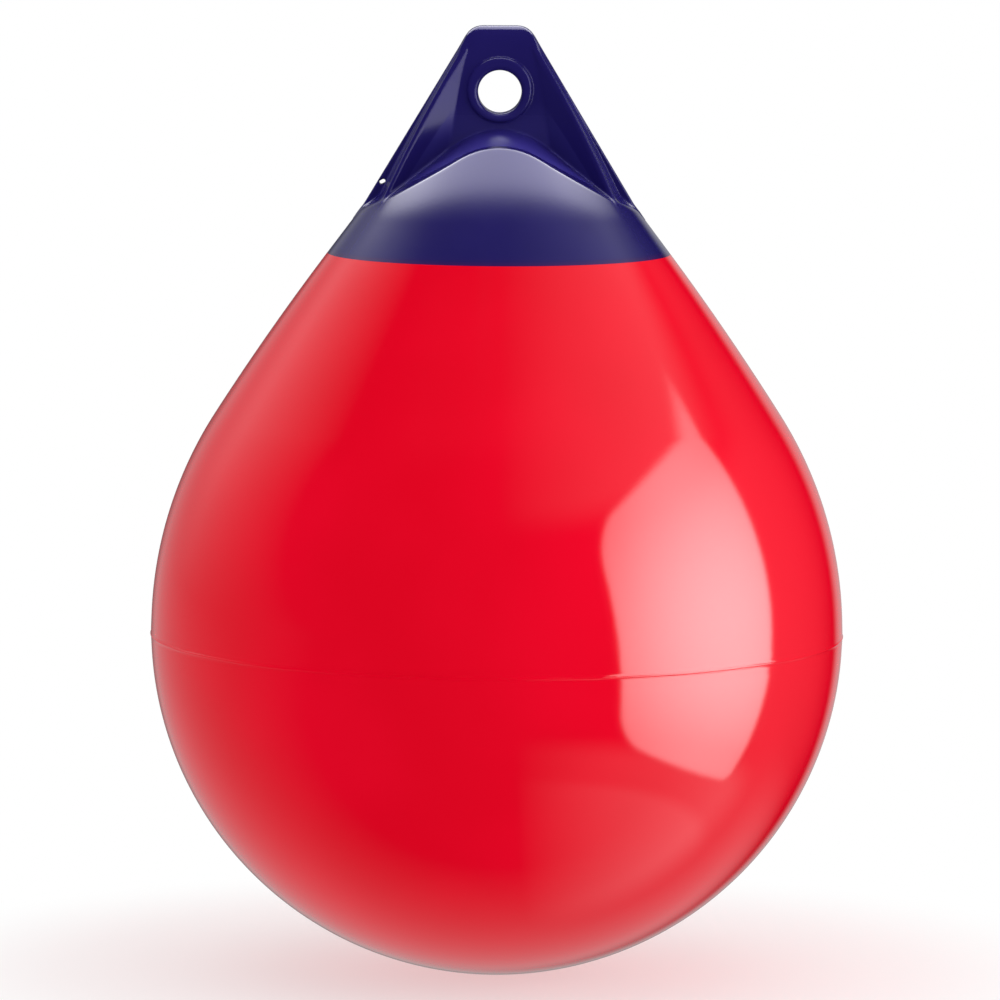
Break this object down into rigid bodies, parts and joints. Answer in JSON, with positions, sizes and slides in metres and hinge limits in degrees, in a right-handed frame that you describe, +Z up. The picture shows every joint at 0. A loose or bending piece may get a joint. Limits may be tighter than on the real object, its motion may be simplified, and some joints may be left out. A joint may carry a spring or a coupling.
{
  "type": "inflatable teardrop mooring buoy",
  "caption": "Inflatable vinyl teardrop buoy that floats with its navy moulded rope hold and rope eye upwards, with a screw valve for air.",
  "frame": {"origin": "on the buoy's axis at the height of the moulding seam, taken as the working waterline", "axes": "+Z up along the axis towards the rope eye; the eye runs along Y and the pictured side faces -Y"},
  "size_m": [0.4332, 0.433, 0.593],
  "materials": {
    "red_vinyl": "glossy red vinyl with a fine moulding seam",
    "navy_vinyl": "satin to glossy navy vinyl",
    "valve_plastic": "satin white plastic",
    "seal_rubber": "matt black rubber"
  },
  "bodies": {
    "buoy": {"body_shell": "red_vinyl", "rope_hold": "navy_vinyl", "valve_bush": "valve_plastic"},
    "seal": {"valve_seal": "seal_rubber"},
    "plug": {"valve_plug": "valve_plastic"}
  },
  "joints": [
    {"name": "valve_lift", "type": "slide", "parent": "buoy", "child": "seal", "axis": [0, 0.8, 0.6], "range_m": [0, 0.0125]},
    {"name": "valve_turn", "type": "hinge", "parent": "seal", "child": "plug", "pos_m": [0, 0.0736, 0.2823], "axis": [0, 0.8, 0.6], "range_deg": [0, 1801]}
  ],
  "couplings": [
    {"joint": "valve_turn", "follows": "valve_lift", "rad_per_m": 2513.3}
  ]
}
